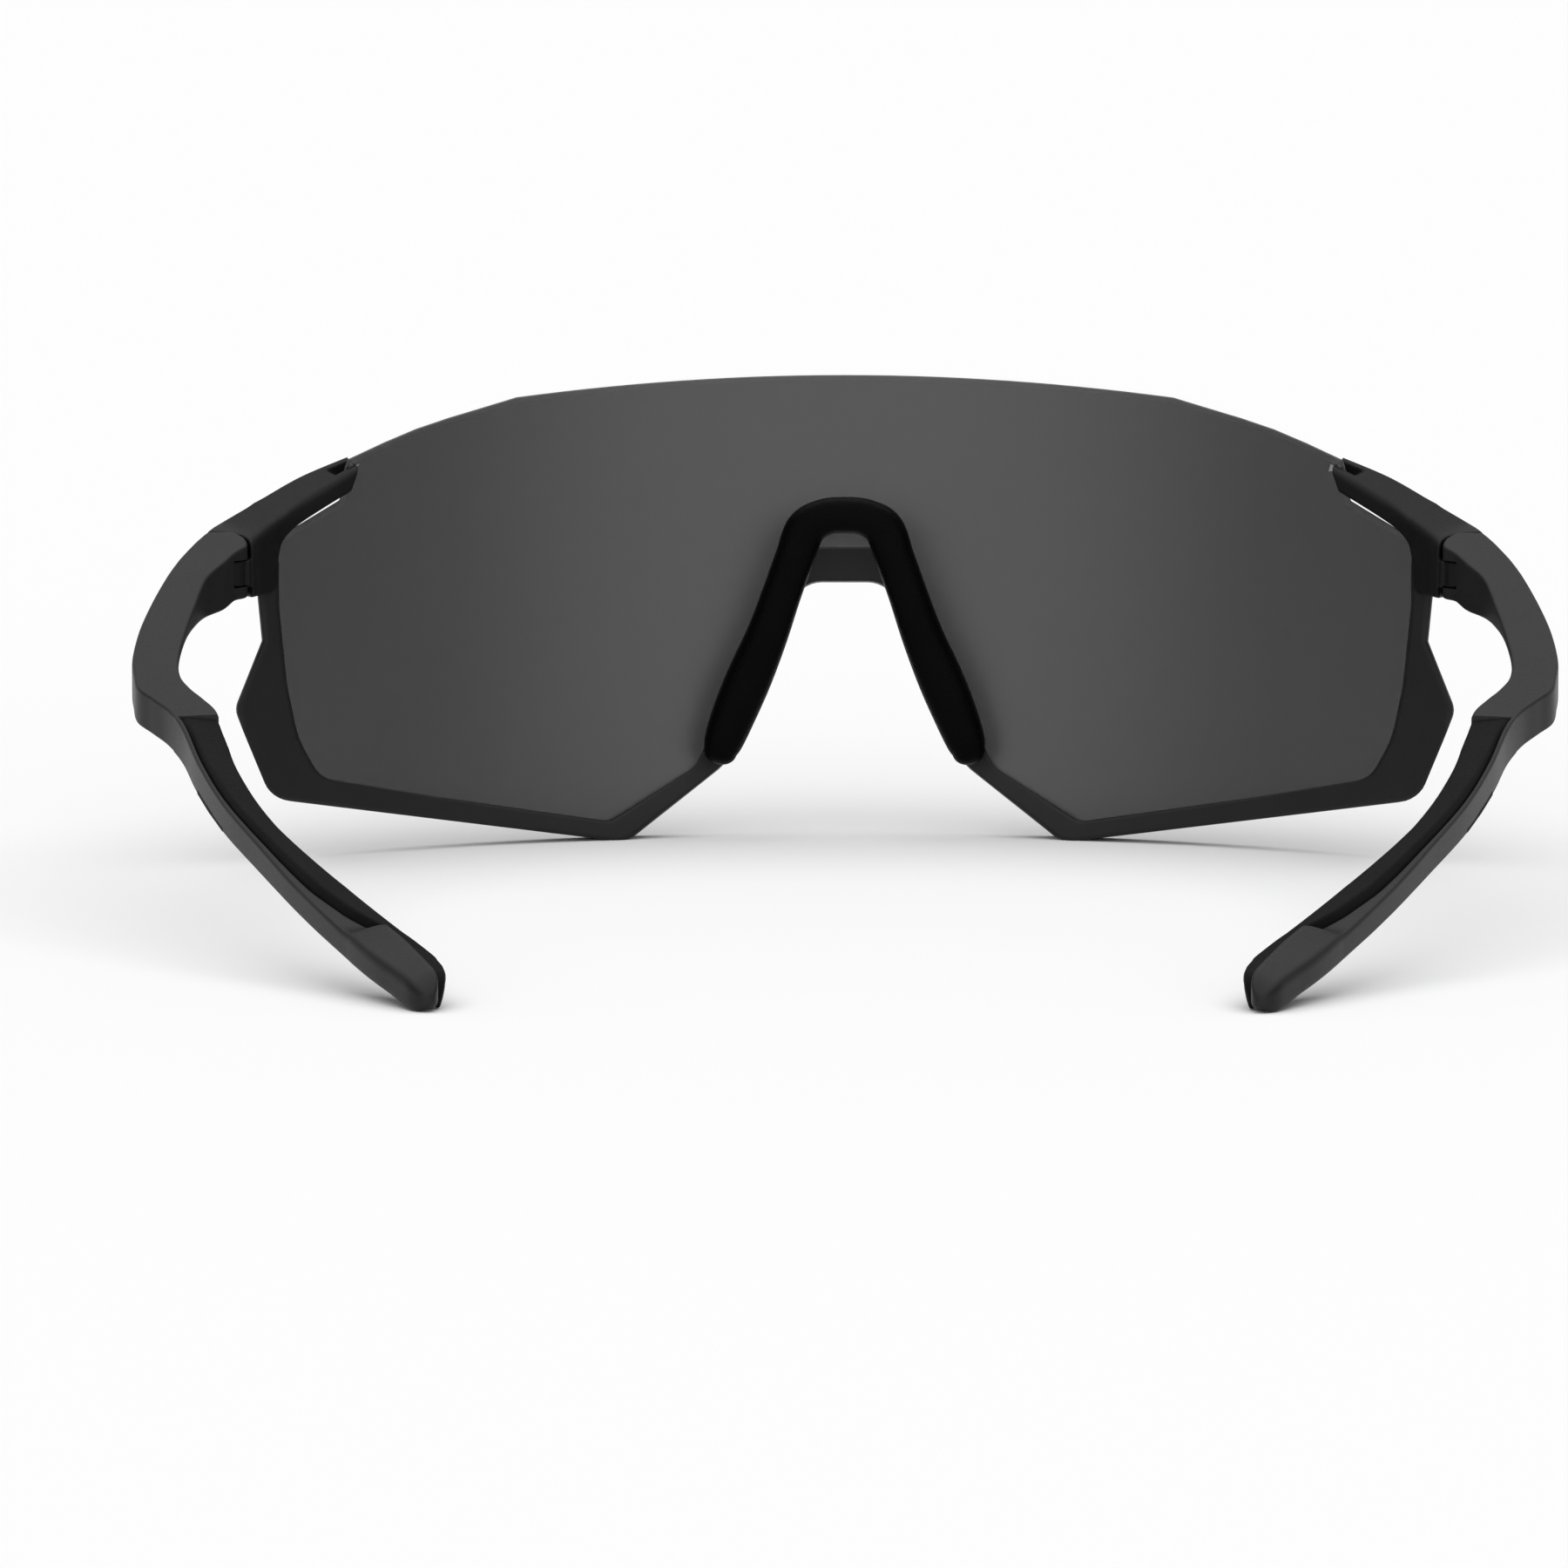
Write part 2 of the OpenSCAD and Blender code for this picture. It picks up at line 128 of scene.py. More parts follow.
def outward(ring):
    """Unit normals at the points of an anticlockwise outline, and the mitre's length."""
    before, after = np.roll(ring, 1, 0), np.roll(ring, -1, 0)
    side = []
    for d in (ring - before, after - ring):
        d = d / np.maximum(np.linalg.norm(d, axis=1, keepdims=True), 1e-9)
        side.append(np.stack([d[:, 1], -d[:, 0]], 1))
    n = side[0] + side[1]
    n /= np.maximum(np.linalg.norm(n, axis=1, keepdims=True), 1e-9)
    mitre = 1 / np.maximum(np.sum(n * side[0], axis=1, keepdims=True), 0.6)
    return n, mitre


def anticlockwise(ring):
    x, y = ring[:, 0], ring[:, 1]
    area = np.sum(x * np.roll(y, -1) - y * np.roll(x, -1))
    return ring if area > 0 else ring[::-1]


def inner_points(ring, cell):
    """A grid of points inside an outline, clear of its edge."""
    lo, hi = ring.min(0), ring.max(0)
    gx, gy = np.meshgrid(np.arange(lo[0], hi[0], cell), np.arange(lo[1], hi[1], cell))
    p = np.stack([gx.ravel(), gy.ravel()], 1)
    a, b = ring[None], np.roll(ring, -1, 0)[None]
    q = p[:, None]
    ab = b - a
    t = np.clip(np.sum((q - a) * ab, 2) / np.maximum(np.sum(ab * ab, 2), 1e-12), 0, 1)
    away = np.linalg.norm(q - a - ab * t[..., None], axis=2).min(1)
    rising = (a[..., 1] > q[..., 1]) != (b[..., 1] > q[..., 1])
    run = np.where(np.abs(ab[..., 1]) < 1e-12, 1e-12, ab[..., 1])
    crossing = q[..., 0] < (q[..., 1] - a[..., 1]) / run * ab[..., 0] + a[..., 0]
    odd = np.sum(rising & crossing, 1) % 2 == 1
    return p[odd & (away > 0.55 * cell)]


def filled(ring, cell):
    """Points inside an outline, and triangles that index the ring's points, then those."""
    extra = inner_points(ring, cell)
    points = [Vector(p) for p in np.concatenate([ring, extra])]
    n = len(ring)
    edges = [(i, (i + 1) % n) for i in range(n)]
    out = delaunay_2d_cdt(points, edges, [], 1, 1e-7)
    first = [ids[0] if ids else None for ids in out[3]]
    triangles = [tuple(first[i] for i in face) for face in out[2]]
    return extra, [t for t in triangles if None not in t and len(set(t)) == 3]


# ------------------------------------------------------------------- meshes
def make_object(name, verts, faces):
    mesh = bpy.data.meshes.new(name)
    mesh.from_pydata([tuple(np.array(v) * MM) for v in verts], [], faces)
    mesh.validate()
    mesh.shade_smooth()
    obj = bpy.data.objects.new(name, mesh)
    bpy.context.scene.collection.objects.link(obj)
    return obj


def on_lens(u, v, r):
    """A point of the lens's frame at (u, v), on the cylinder of radius r."""
    out = math.sqrt(max(r * r - u * u, 0)) - LENS_R
    c, s = math.cos(LENS_TILT), math.sin(LENS_TILT)
    return (u, LENS_Y + out * c + v * s, LENS_Z - out * s + v * c)


def turned_to_lens(n):
    c, s = math.cos(LENS_TILT), math.sin(LENS_TILT)
    return (n[0], n[1] * c + n[2] * s, -n[1] * s + n[2] * c)


def plate(name, outline, r_in, r_out, edge, cell=1.6, steps=4, draft=0.0):
    """A curved plate with rounded edges; edge is a radius, or a rule that gives one at (u, v).

    The outer face is smaller than the inner one by the draft all round.
    """
    ring = anticlockwise(np.array(outline))
    n = len(ring)
    normal, mitre = outward(ring)
    widths = np.array([[edge(u, v) if callable(edge) else edge] for u, v in ring])
    verts, normals, layers = [], [], []
    for back in (True, False):
        for k in range(steps + 1):
            t = math.radians(90 * (k if back else steps - k) / steps)
            inset = widths * (1 - math.sin(t)) + (0 if back else draft)
            shape = ring - normal * mitre * inset
            layer = []
            for i, (u, v) in enumerate(shape):
                sink = widths[i, 0] * (1 - math.cos(t))
                r = r_in + sink if back else r_out - sink
                layer.append(len(verts))
                verts.append(on_lens(u, v, r))
                face = (-1 if back else 1) * math.cos(t)
                slant = min(1.0, abs(u) / r) * (1 if u > 0 else -1)
                wall = math.sin(t)
                face += wall * draft / (r_out - r_in)
                normals.append(turned_to_lens((
                    face * slant + wall * normal[i, 0],
                    face * math.sqrt(1 - slant * slant),
                    wall * normal[i, 1])))
            layers.append(layer)
            if k == (0 if back else steps):
                extra, triangles = filled(shape, cell)
                index = layer + list(range(len(verts), len(verts) + len(extra)))
                r = r_in if back else r_out
                sign = -1 if back else 1
                for u, v in extra:
                    verts.append(on_lens(u, v, r))
                    slant = u / r
                    straight = math.sqrt(1 - slant ** 2)
                    normals.append(turned_to_lens((sign * slant, sign * straight, 0)))
                if back:
                    faces = [tuple(index[i] for i in t) for t in triangles]
                else:
                    faces += [tuple(index[i] for i in reversed(t)) for t in triangles]
    for a, b in zip(layers, layers[1:]):
        for i in range(n):
            j = (i + 1) % n
            faces.append((a[j], a[i], b[i], b[j]))
    obj = make_object(name, verts, faces)
    facing_out(obj.data)
    if len(obj.data.vertices) == len(normals):
        units = [Vector(v).normalized() for v in normals]
        obj.data.normals_split_custom_set_from_vertices(units)
    return obj


# Plates that cut a piece to shape: an all but sharp edge, and a coarse face
CUTTER_EDGE = 0.02


def cutter(name, outline, r_in, r_out, cell=2.5):
    return plate(name, outline, r_in, r_out, CUTTER_EDGE, cell, 1)


def facing_out(mesh):
    bm = bmesh.new()
    bm.from_mesh(mesh)
    bmesh.ops.recalc_face_normals(bm, faces=bm.faces)
    bm.to_mesh(mesh)
    bm.free()


def blend_rows(rows, steps):
    """A Catmull-Rom curve through rows of numbers, with so many steps between two rows."""
    rows = np.array(rows, float)
    last = len(rows) - 1
    made = []
    for i in range(last):
        a, b, c, d = rows[max(0, i - 1)], rows[i], rows[i + 1], rows[min(last, i + 2)]
        for k in range(steps):
            t = k / steps
            made.append(0.5 * (2 * b + (c - a) * t + (2 * a - 5 * b + 4 * c - d) * t * t
                               + (3 * b - a - 3 * c + d) * t ** 3))
    return made + [rows[last]]


def soft_ring(corners, radii, steps=5):
    """A closed section with the same number of points at every rounded corner."""
    made = []
    count = len(corners)
    for i in range(count):
        b = np.array(corners[i], float)
        a, c = np.array(corners[i - 1], float), np.array(corners[(i + 1) % count], float)
        to_a, to_c = a - b, c - b
        reach = min(radii[i], 0.45 * np.linalg.norm(to_a), 0.45 * np.linalg.norm(to_c))
        start = b + to_a / max(np.linalg.norm(to_a), 1e-9) * reach
        end = b + to_c / max(np.linalg.norm(to_c), 1e-9) * reach
        for k in range(steps + 1):
            t = k / steps
            made.append(start * (1 - t) ** 2 + b * 2 * t * (1 - t) + end * t * t)
    return made


def loft(name, rings):
    """A closed solid through rings of the same number of points."""
    n = len(rings[0])
    verts = [p for ring in rings for p in ring]
    faces = []
    for k in range(len(rings) - 1):
        for i in range(n):
            j = (i + 1) % n
            faces.append((k * n + i, k * n + j, (k + 1) * n + j, (k + 1) * n + i))
    for k in (0, len(rings) - 1):
        verts.append(np.mean(np.array(rings[k]), axis=0))
        hub = len(verts) - 1
        faces += [(k * n + i, k * n + (i + 1) % n, hub) for i in range(n)]
    obj = make_object(name, verts, faces)
    facing_out(obj.data)
    return obj


def prism(name, outline, z0, z1):
    """An upright solid over a plane outline."""
    n = len(outline)
    verts = [(x, y, z0) for x, y in outline] + [(x, y, z1) for x, y in outline]
    faces = [tuple(range(n)), tuple(range(n, 2 * n))]
    faces += [(i, (i + 1) % n, n + (i + 1) % n, n + i) for i in range(n)]
    obj = make_object(name, verts, faces)
    facing_out(obj.data)
    return obj


def disc(x, y, r, count=48):
    turns = [2 * math.pi * i / count for i in range(count)]
    return [(x + r * math.cos(t), y + r * math.sin(t)) for t in turns]


def applied(obj):
    """Bakes the object's modifiers into its mesh."""
    graph = bpy.context.evaluated_depsgraph_get()
    made = bpy.data.meshes.new_from_object(obj.evaluated_get(graph))
    obj.modifiers.clear()
    obj.data = made
    return obj


def combine(obj, other, operation):
    """Joins another solid to the object, or cuts it away, and removes that solid."""
    step = obj.modifiers.new(operation, "BOOLEAN")
    step.operation = operation
    step.solver = "EXACT"
    step.object = other
    applied(obj)
    bpy.data.objects.remove(other)
    return obj


MOULD_VOXEL = 0.16
MOULD_SMOOTHING = 3


def moulded(obj):
    """Gives a solid the soft edges of a moulding, by a fine remesh and a little smoothing."""
    remesh = obj.modifiers.new("remesh", "REMESH")
    remesh.mode = "VOXEL"
    remesh.voxel_size = MOULD_VOXEL * MM
    smooth = obj.modifiers.new("smooth", "SMOOTH")
    smooth.factor = 0.5
    smooth.iterations = MOULD_SMOOTHING
    applied(obj)
    obj.data.shade_smooth()
    return obj


def crisp(obj, angle=35):
    """Smooth shading that keeps the edges of cuts sharp."""
    obj.data.shade_smooth()
    obj.data.set_sharp_from_angle(angle=math.radians(angle))
    even = obj.modifiers.new("even_normals", "WEIGHTED_NORMAL")
    even.keep_sharp = True
    return obj


def mirrored(obj, name):
    """The same piece for the other side."""
    twin = obj.copy()
    twin.data = obj.data.copy()
    twin.name = name
    twin.data.transform(Matrix.Scale(-1, 4, (1, 0, 0)))
    twin.data.flip_normals()
    bpy.context.scene.collection.objects.link(twin)
    return twin


# ---------------------------------------------------------------- materials
def new_material(name):
    mat = bpy.data.materials.new(name)
    mat.use_nodes = True
    nodes = mat.node_tree.nodes
    return mat, nodes, mat.node_tree.links, nodes["Principled BSDF"]


def noise(nodes, links, scale, detail=2.0, roughness=0.5):
    place = nodes.new("ShaderNodeTexCoord")
    tex = nodes.new("ShaderNodeTexNoise")
    tex.inputs["Scale"].default_value = scale
    tex.inputs["Detail"].default_value = detail
    tex.inputs["Roughness"].default_value = roughness
    links.new(place.outputs["Object"], tex.inputs["Vector"])
    return tex.outputs["Fac"]


def ramp(nodes, links, source, low, high, start=0.3, end=0.7):
    """Maps a factor to a number or a colour between low and high."""
    span = nodes.new("ShaderNodeValToRGB")
    span.color_ramp.elements[0].position = start
    span.color_ramp.elements[1].position = end
    for element, value in zip(span.color_ramp.elements, (low, high)):
        colour = value if hasattr(value, "__len__") else (value,) * 3
        element.color = (*colour, 1)
    links.new(source, span.inputs["Fac"])
    return span.outputs["Color"]


def bump(nodes, links, shader, source, depth, strength):
    node = nodes.new("ShaderNodeBump")
    node.inputs["Distance"].default_value = depth
    node.inputs["Strength"].default_value = strength
    links.new(source, node.inputs["Height"])
    links.new(node.outputs["Normal"], shader.inputs["Normal"])


def moulding(name, tone, roughness, grain, specular, depth=0.00003, strength=0.35, spread=0.12):
    """Moulded black plastic or rubber: fine grain, and slight changes of tone and gloss over it."""
    mat, nodes, links, shader = new_material(name)
    low, high = tone * (1 - spread), tone * (1 + spread)
    wide = noise(nodes, links, 140, 3)
    fine = noise(nodes, links, grain, 3, 0.6)
    links.new(ramp(nodes, links, wide, low, high), shader.inputs["Base Color"])
    gloss = ramp(nodes, links, fine, roughness - 0.05, roughness + 0.05)
    links.new(gloss, shader.inputs["Roughness"])
    shader.inputs["Specular IOR Level"].default_value = specular
    bump(nodes, links, shader, fine, depth, strength)
    return mat


def metal(name, tone, roughness):
    """Plated or turned metal, with a fine grain in its tone and gloss."""
    mat, nodes, links, shader = new_material(name)
    shader.inputs["Metallic"].default_value = 1.0
    fine = noise(nodes, links, 9000, 4)
    darker = tuple(c * 0.85 for c in tone)
    links.new(ramp(nodes, links, fine, darker, tone), shader.inputs["Base Color"])
    gloss = ramp(nodes, links, fine, roughness - 0.06, roughness + 0.06)
    links.new(gloss, shader.inputs["Roughness"])
    bump(nodes, links, shader, fine, 0.000005, 0.4)
    return mat


POLYCARBONATE_IOR = 1.586
LENS_ALPHA = 0.81


def tinted_lens(name):
    """Dark grey polycarbonate, satin, with a faint unevenness of tint and gloss."""
    mat, nodes, links, shader = new_material(name)
    wide = noise(nodes, links, 60, 2)
    links.new(ramp(nodes, links, wide, 0.003, 0.004), shader.inputs["Base Color"])
    links.new(ramp(nodes, links, wide, 0.29, 0.31), shader.inputs["Roughness"])
    shader.inputs["IOR"].default_value = POLYCARBONATE_IOR
    shader.inputs["Alpha"].default_value = LENS_ALPHA
    return mat


LENS_MATERIAL = tinted_lens("lens_tint")
RIM_MATERIAL = moulding("rim_plastic", 0.008, 0.5, 5200, 0.25)
ENDPIECE_MATERIAL = moulding("endpiece_plastic", 0.005, 0.48, 5200, 0.12)
TEMPLE_MATERIAL = moulding("temple_plastic", 0.008, 0.45, 5200, 0.23)
GRIP_MATERIAL = moulding("grip_rubber", 0.003, 0.6, 3600, 0.075, 0.00005, 0.5, 0.25)
NOSE_MATERIAL = moulding("nose_rubber", 0.001, 0.38, 2800, 0.035, 0.0001, 1.0, 0.3)
CLIP_MATERIAL = moulding("clip_plastic", 0.005, 0.55, 5200, 0.2)
STEEL_MATERIAL = metal("plated_steel", (0.62, 0.62, 0.63), 0.3)
BRASS_MATERIAL = metal("turned_brass", (0.78, 0.58, 0.28), 0.3)


def dress(obj, material, slot, body, *nodes):
    """Material and body for a piece, and the CAD nodes that it stands for; the record slot is not
    used.
    """
    obj.data.materials.clear()
    obj.data.materials.append(material)
    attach(obj, body)
    if nodes:
        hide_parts(*nodes)
    return obj


# --------------------------------------------------------------------- lens
LENS_TOP = 26.25
KINK_X = 38.5
KINK_DROP = 3.2
TOP_STEPS = 14
LENS_SIDE = [
    (50, 19.1, 50), (57.5, 15.1, 0.4), (58.0, 13.6, 0), (58.4, 10.35, 0.4), (66.3, 4.9, 2.5),
    (66, -4, 30), (65, -12.5, 30), (63.9, -18.5, 8), (61.3, -23, 4.5), (48, -25, 60),
    (27.2, -27.5, 2), (16.6, -20.7, 2), (13, -12.8, 10), (8.4, 0.6, 10), (6.9, 4.6, 3), (0, 4.6, 0)]


def lens_outline():
    top = [KINK_X * i / TOP_STEPS for i in range(TOP_STEPS + 1)]
    half = [(x, LENS_TOP - KINK_DROP * (x / KINK_X) ** 2, 0) for x in top] + LENS_SIDE
    return dense(rounded(both_halves(half)), 0.8)


LENS_DRAFT = 0.55
LENS_EDGE = 0.3
# The slot of an endpiece's fork, open above, in the lens's frame
FORK_SLOT = [
    (54, 22, 0), (54, 12.5, 0), (58.4, 10.35, 0.4), (58.75, 13.1, 0.2), (60.1, 13.85, 0.3),
    (60.9, 18.5, 0)]
# A lobe of the endpiece that covers the lens's lower corner from behind
CORNER_LOBE = [
    (62.4, 8.1, 0), (62.8, 7.6, 0.3), (63.9, 6.6, 1.5), (64.6, 5.2, 2), (65.0, 3.1, 0), (67.4, 3.1, 0),
    (67.6, 4.6, 0), (65.8, 6.4, 0)]
LOBE_T = 1.7
LOBE_GRIP = 0.5


def lens():
    obj = plate("lens_shield", lens_outline(), LENS_R, LENS_R + LENS_T, LENS_EDGE, 1.5, 5,
                LENS_DRAFT)
    return dress(obj, LENS_MATERIAL, "lens", "front", "lens")


# ---------------------------------------------------------------------- rim
RIM_TOP = 3.0
RIM_OUTSIDE = [
    (67.2, RIM_TOP, 0), (67.2, -0.8, 0), (66.7, -6.2, 0.6), (69.55, -14.1, 2.4), (65.6, -24.3, 3.2),
    (25.7, -29.05, 3.2), (14.9, -20.4, 1), (12.5, -18, 3), (10.5, -13.2, 10), (5.3, 1.8, 4.5),
    (0, 1.8, 0)]
RIM_WINDOW = [
    (0, 5.8, 0), (7.2, 5.8, 3), (9.4, 0.8, 8), (14, -12.4, 10), (17.6, -20.2, 2.5), (27.6, -26.6, 1.8),
    (48, -23.8, 60), (60.4, -21.8, 3), (62.8, -17.3, 10), (64, -11.3, 20), (64.9, -2, 20),
    (64.9, RIM_TOP, 0)]


# How much wider the window is in front of the lens than behind it
FRONT_WINDOW_MORE = 0.8


def front_window():
    """The window's outline in front of the lens, closed far above the rim."""
    made = []
    for side in (1, -1):
        rows = [(7.2, 5.8, 3)] + RIM_WINDOW[2:-1] + [(64.9, 40, 0), (7.2, 40, 0)]
        ring = anticlockwise(dense(rounded([(side * x, y, r) for x, y, r in rows]), 1.0))
        normal, mitre = outward(ring)
        made.append(ring + normal * mitre * FRONT_WINDOW_MORE)
    return made


def rim_edge(u, v):
    """Radius of the rim's edge: wide beside the wings, soft below, small at the window."""
    wing = clamp((abs(u) - 65.3) / 0.6) * clamp((v + 17) / 3) * clamp((2.8 - v) / 2)
    below = clamp((-23 - v) / 2)
    return 0.3 + 0.8 * wing + 0.2 * below


def rim():
    outline = dense(rounded(both_halves(RIM_WINDOW + RIM_OUTSIDE)), 0.7)
    obj = plate("rim_frame", outline, LENS_R - REAR_LIP, LENS_R + LENS_T + FRONT_LIP, rim_edge,
                1.2, 5)
    combine(obj, cutter("lens_cutter", lens_outline(), LENS_R, LENS_R + LENS_T), "DIFFERENCE")
    for k, ring in enumerate(front_window()):
        window = cutter("window_cutter_%d" % k, ring, LENS_R + 1, LENS_R + 8, 3)
        combine(obj, window, "DIFFERENCE")
    for v in obj.data.vertices:
        v.co.z = max(v.co.z, FLOOR_Z)
    crisp(obj)
    return dress(obj, RIM_MATERIAL, "rim", "front", "lower_rim")


# --------------------------------------------------------------- endpieces
# Sections from the fork's tip to the hinge: outer top, inner top, inner
# bottom and outer bottom corner, measured from the hinge pin
ENDPIECE_SECTIONS = [
    [(11.9, 24.6, 45.6), (13.8, 19.4, 44.6), (12.9, 18.6, 41.85), (11.6, 24.2, 41.6)],
    [(6.9, 19.8, 43.75), (7.9, 14.2, 41.1), (8.2, 13.9, 39.1), (7.2, 19.6, 38.5)],
    [(2.7, 15.6, 41.5), (5.5, 10.2, 39.4), (6.2, 11.4, 37.45), (2.9, 15.2, 36.2)],
    [(1.8, 14.6, 41.05), (5.1, 9.2, 39.1), (5.1, 10.2, 35.3), (2, 14.2, 34)],
    [(1, 13.8, 40.5), (4.6, 8.1, 38.8), (4.9, 9.4, 31.3), (1.2, 13.4, 31.2)],
    [(-1.4, 10.6, 39.15), (3.4, 4, 38), (3.6, 4.4, 31), (-1.2, 10.4, 31)],
    [(-2.4, 7, 38.65), (2.9, 1.2, 37.5), (3, 1.2, 31), (-2.3, 6.8, 31)],
    [(-2.9, 4, 38.3), (2.6, 1, 37.4), (2.6, 1, 31), (-2.8, 3.9, 31)]]
SEAT_OUTLINE = [
    (-9, 4.5, 0), (-0.4, 4.5, 1.6), (1.3, 3.6, 1.6), (2.4, 1.4, 1.5), (2.4, -8, 0), (-9, -8, 0)]


def at_pin(points):
    return [(x - PIN_X, y + PIN_Y) for x, y in points]


def block(name, x0, x1, y0, y1, z0, z1):
    return prism(name, at_pin([(x0, y0), (x1, y0), (x1, y1), (x0, y1)]), z0, z1)


def endpiece(name):
    flat = [sum((list(p) for p in section), []) for section in ENDPIECE_SECTIONS]
    rings = []
    for row in blend_rows(flat, 6):
        corners = row.reshape(4, 3) + np.array([-PIN_X, PIN_Y, 0])
        rings.append(soft_ring(corners, (0.8, 1.2, 0.5, 0.6), 6))
    obj = loft(name, rings)
    seat = [tuple(p) for p in rounded(SEAT_OUTLINE)]
    combine(obj, prism("seat", at_pin(seat), HINGE_BOTTOM - 5, HINGE_BOTTOM + 15), "DIFFERENCE")
    low, high = LOWER_LEAF_TOP + KNUCKLE_GAP, UPPER_LEAF_BOTTOM - KNUCKLE_GAP
    combine(obj, prism("knuckle", disc(-PIN_X, PIN_Y, KNUCKLE_R), low, high), "UNION")
    combine(obj, block("web", WEB_X, 2.5, 0, 5, low, high), "UNION")
    combine(obj, block("web_foot", 0.4, 3.0, 1.2, 4.2, low, high), "UNION")
    lobe = [(-x, y) for x, y in rounded(CORNER_LOBE)]
    lobe = dense(np.array(lobe), 0.8)
    lobe = plate("lobe", lobe, LENS_R - LOBE_T, LENS_R + LOBE_GRIP, 0.1, 1, 2)
    combine(obj, lobe, "UNION")
    slot = [(-x, y) for x, y in rounded(FORK_SLOT)]
    for outline in (lens_outline(), dense(np.array(slot), 1.0)):
        combine(obj, cutter("cutter", outline, LENS_R, LENS_R + LENS_T), "DIFFERENCE")
    outline = dense(rounded(both_halves(RIM_WINDOW + RIM_OUTSIDE)), 1.0)
    rim_cut = cutter("rim_cutter", outline, LENS_R - REAR_LIP, LENS_R + LENS_T + FRONT_LIP)
    combine(obj, rim_cut, "DIFFERENCE")
    bore = prism("bore", disc(-PIN_X, PIN_Y, PIN_D / 2 + PIN_PLAY), HINGE_BOTTOM - 1, HINGE_TOP + 3)
    combine(obj, bore, "DIFFERENCE")
    return moulded(obj)


# ------------------------------------------------------------------ temples
# Rows of (distance behind the pin, outer face x, inner edge x, height of the
# outer face, height of the inner face)
TEMPLE_ROWS = [
    (-4.38, -72.2, -70.5, 7.3, 7.3), (-3.9, -72.5, -69.35, 7.2, 7.2), (-3.2, -72.8, -68.7, 7, 7),
    (-2.3, -73.1, -68.1, 6.75, 6.75), (-0.9, -73.55, -67.65, 6.35, 6.35), (0.4, -73.9, -67.7, 6, 6),
    (2.3, -74.4, -68.7, 5.9, 5.6), (5.3, -75.1, -69.7, 5.8, 5.5), (10.3, -75.95, -71.3, 5.3, 4.5),
    (18.3, -76.9, -71.9, 4.7, 2.6), (26.3, -77.5, -72.3, 4.3, 1.3), (34.3, -77.5, -72.4, 4.1, 1),
    (39.3, -76.9, -71.8, 4.05, 1.2), (42.9, -76.2, -70.4, 4, 1.8), (45.8, -74.4, -68.8, 4, 2.6),
    (49.3, -72.3, -67.1, 4, 3.6), (54.3, -70.3, -66.1, 4, 4.3), (62.3, -68.1, -64.5, 4, 4.8),
    (72.3, -64.7, -61.5, 4, 5), (82.3, -60.4, -57.5, 4, 5), (92.3, -55.95, -52.6, 4, 5),
    (102.3, -50.95, -47, 4.1, 5), (110.3, -46.65, -42.4, 4.3, 4.8), (114.9, -43.85, -40, 4.4, 4.4),
    (116.9, -42.5, -39.3, 3.9, 3.8), (118.2, -41.2, -40, 2.9, 2.7)]
GRIP_START = 50.5
GRIP_STEP = 0.5
# Bevel on the front of the temple's top edge, which makes the hinge's seam visible
SEAM_BEVEL = 0.3
SEAM_BEVEL_END = -3.8
SEAM_BEVEL_LENGTH = 0.58
# How far the shell's outer edge lies below the temple's top plane, by distance
# behind the pin, and how wide the shell's lip is beside the grip
EDGE_DROP = [(51, 0.0), (56, 0.5), (68, 1.0), (80, 1.2), (92, 1.4), (102, 1.5), (118, 1.5)]
LIP_WIDTH = [(51, 0.5), (68, 0.5), (80, 0.65), (86, 0.85), (94.4, 1.2), (100.4, 2.1), (103.8, 3.2)]
CAP_START = 103.4
CAP_END = 105.0
# Where the section's edges grow softer towards the tip
FULLER_START = 98.0
FULLER_END = 112.0
# Rubber left showing beside the shell's cap, and how far the grip's inner edge
# lies below the top plane
CAP_RUBBER = [(104, 0.0), (112, 0.0), (116, 0.3)]
INNER_DROP = [(51, 0.5), (56, 0.8), (70, 1.0), (118, 1.2)]
# How far the grip bulges inwards past the temple's row
GRIP_BULGE = [
    (51, 0.15), (57, 0.55), (67.6, 0.8), (78, 1), (86, 1.5), (93.6, 1.85), (104, 1.85),
    (107.5, 2), (109.3, 2.2), (111, 2.55), (112.7, 2.55), (114.4, 1.9), (116, 0.6)]
# The sections turn square to the temple's run towards the tip, which ends in a dome
TURN_START = 104.5
TURN_END = 112.0
TIP_ANGLE = math.radians(31)
DOME_START = 115.2
DOME_LENGTH = 3.0
DOME_RINGS = 9
TIP_RUN = np.array([math.sin(TIP_ANGLE), -math.cos(TIP_ANGLE), -TEMPLE_SLOPE])
# The grip's own dome hangs a little lower
GRIP_TIP = np.array([0.2, -1.7, -0.8])


def lookup(table, d):
    return float(np.interp(d, [row[0] for row in table], [row[1] for row in table]))


def front_share(d):
    return clamp((GRIP_START + GRIP_STEP - d) / GRIP_STEP)


def cap_share(d):
    t = clamp((d - CAP_START) / (CAP_END - CAP_START))
    return t * t * (3 - 2 * t)


def parting_x(row):
    """The face where shell and grip meet."""
    thin = row[1] + lookup(LIP_WIDTH, row[0])
    front, cap = front_share(row[0]), cap_share(row[0])
    if front > 0:
        return front * row[2] + (1 - front) * thin
    return cap * (row[2] - lookup(CAP_RUBBER, row[0])) + (1 - cap) * thin


def top_z(d):
    return HINGE_TOP - TEMPLE_SLOPE * d


def turned(ring, row):
    """The section turned about its row's middle, as it is square to the run at the tip."""
    psi = TIP_ANGLE * clamp((row[0] - TURN_START) / (TURN_END - TURN_START))
    c, s = math.cos(psi), math.sin(psi)
    middle = (row[1] + row[2]) / 2
    return [(middle + (x - middle) * c * c, y + (x - middle) * c * s, z) for x, y, z in ring]


